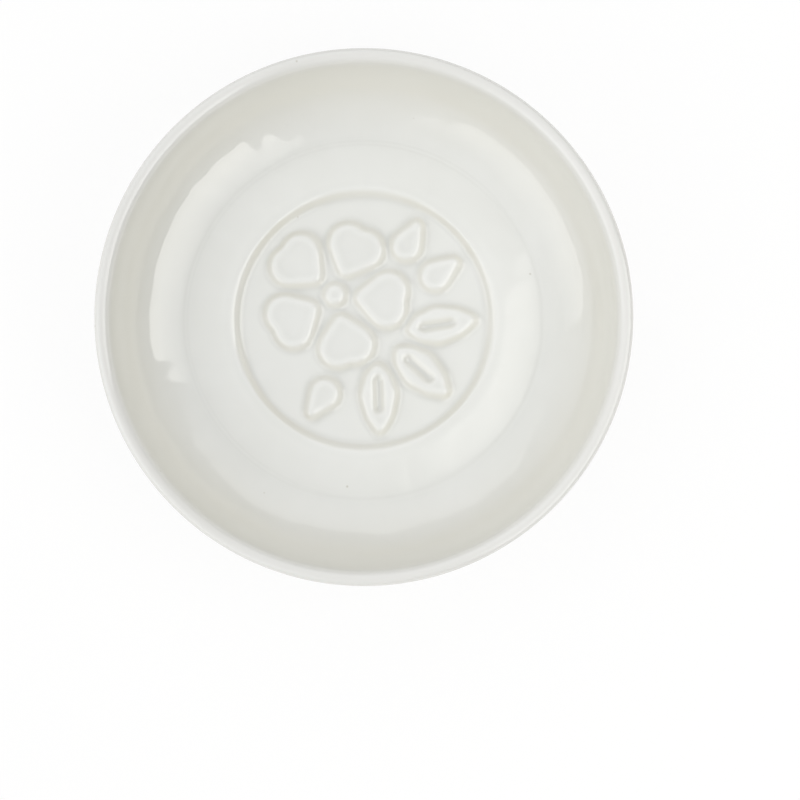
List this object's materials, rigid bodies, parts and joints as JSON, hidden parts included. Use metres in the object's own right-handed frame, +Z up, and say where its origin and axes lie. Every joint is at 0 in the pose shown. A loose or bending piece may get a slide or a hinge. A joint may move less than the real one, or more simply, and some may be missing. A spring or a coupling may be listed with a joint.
{
  "type": "soy sauce dish",
  "caption": "Small round glazed porcelain dish for soy sauce, with a wide lip, a curved wall, a moat and a blossom relief sunk in its well, on a bare foot ring.",
  "frame": {"origin": "middle of the plane that the foot ring stands on", "axes": "+Z up through the middle of the well; +X to the right and +Y away from the viewer, with the leaves of the relief nearest the viewer"},
  "size_m": [0.096, 0.096, 0.019],
  "materials": {
    "porcelain": "matt fired clay, smooth, slightly warm",
    "glaze": "clear ivory-white gloss glaze"
  },
  "bodies": {
    "root": {"porcelain_body": "porcelain", "glaze_coat": "glaze", "base_glaze": "glaze"}
  },
  "joints": []
}
